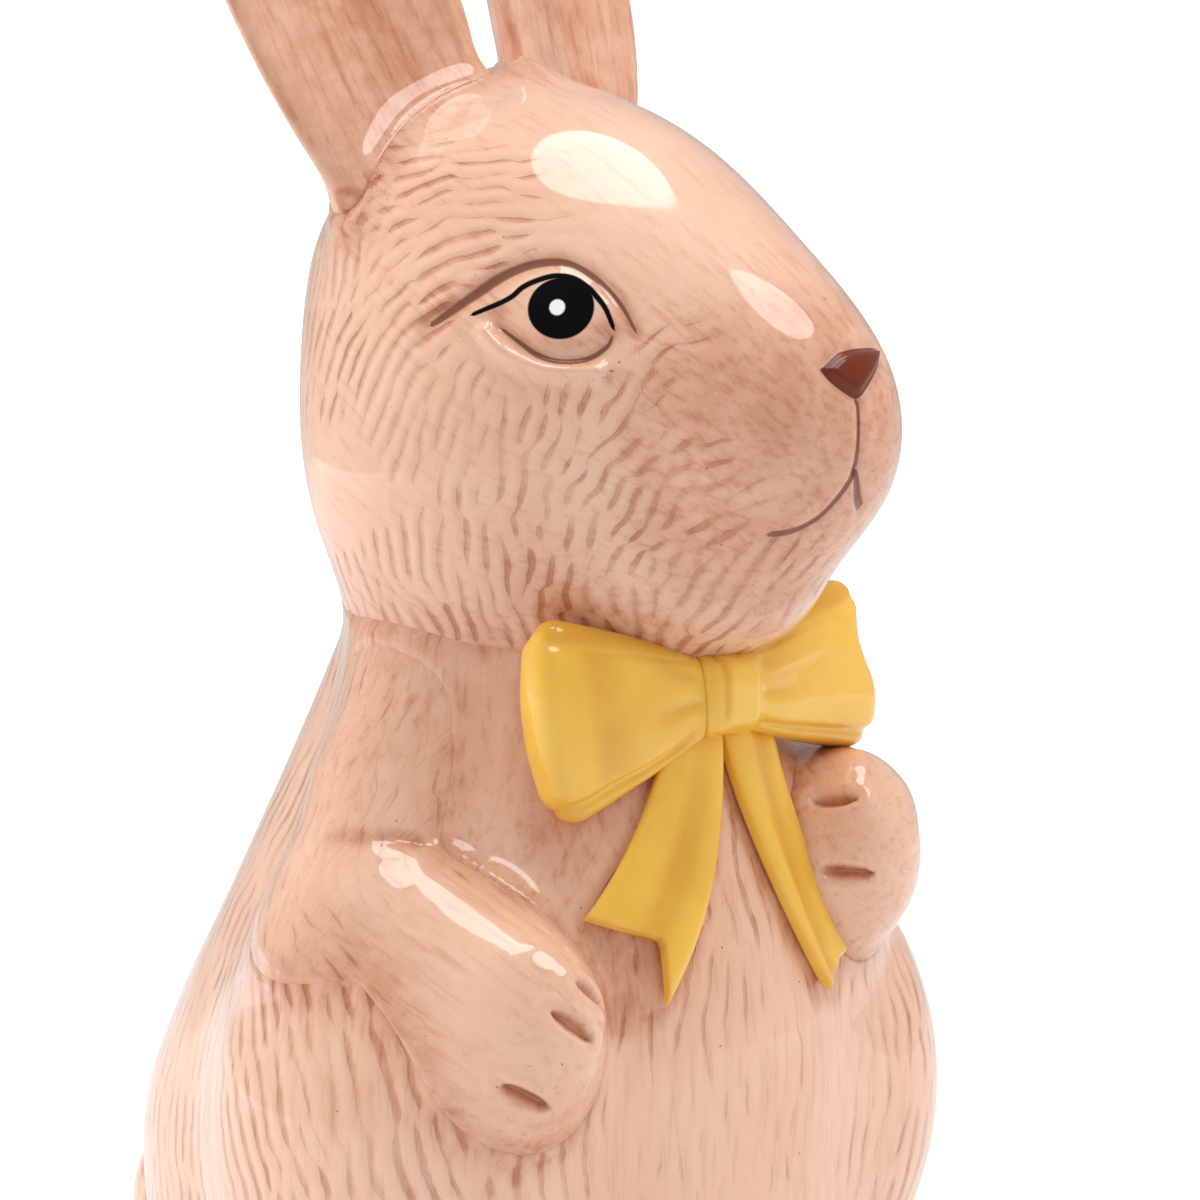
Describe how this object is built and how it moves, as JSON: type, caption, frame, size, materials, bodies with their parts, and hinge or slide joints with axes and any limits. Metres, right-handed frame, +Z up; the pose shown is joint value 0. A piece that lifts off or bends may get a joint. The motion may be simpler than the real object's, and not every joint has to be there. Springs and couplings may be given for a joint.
{
  "type": "rabbit figurine",
  "caption": "Glazed ceramic rabbit ornament sitting upright, with long ears, folded forepaws and a moulded ribbon bow under the chin.",
  "frame": {"origin": "middle of the bounding box at the underside of the base", "axes": "+Z up, -Y the way the chest faces, +X the rabbit's own left"},
  "size_m": [0.112, 0.1468, 0.2532],
  "materials": {
    "fur_glaze": "high gloss clear glaze over a pink-beige ground with a brown wash in the carved fur",
    "ribbon_glaze": "high gloss yellow glaze, deeper in the folds"
  },
  "bodies": {
    "root": {"torso": "fur_glaze", "head": "fur_glaze", "ear_right": "fur_glaze", "ear_left": "fur_glaze", "arm_right": "fur_glaze", "arm_left": "fur_glaze", "hind_foot_right": "fur_glaze", "hind_foot_left": "fur_glaze", "tail": "fur_glaze", "bow_knot": "ribbon_glaze", "bow_loop_right": "ribbon_glaze", "bow_loop_left": "ribbon_glaze", "bow_ribbon_right": "ribbon_glaze", "bow_ribbon_left": "ribbon_glaze"}
  },
  "joints": []
}
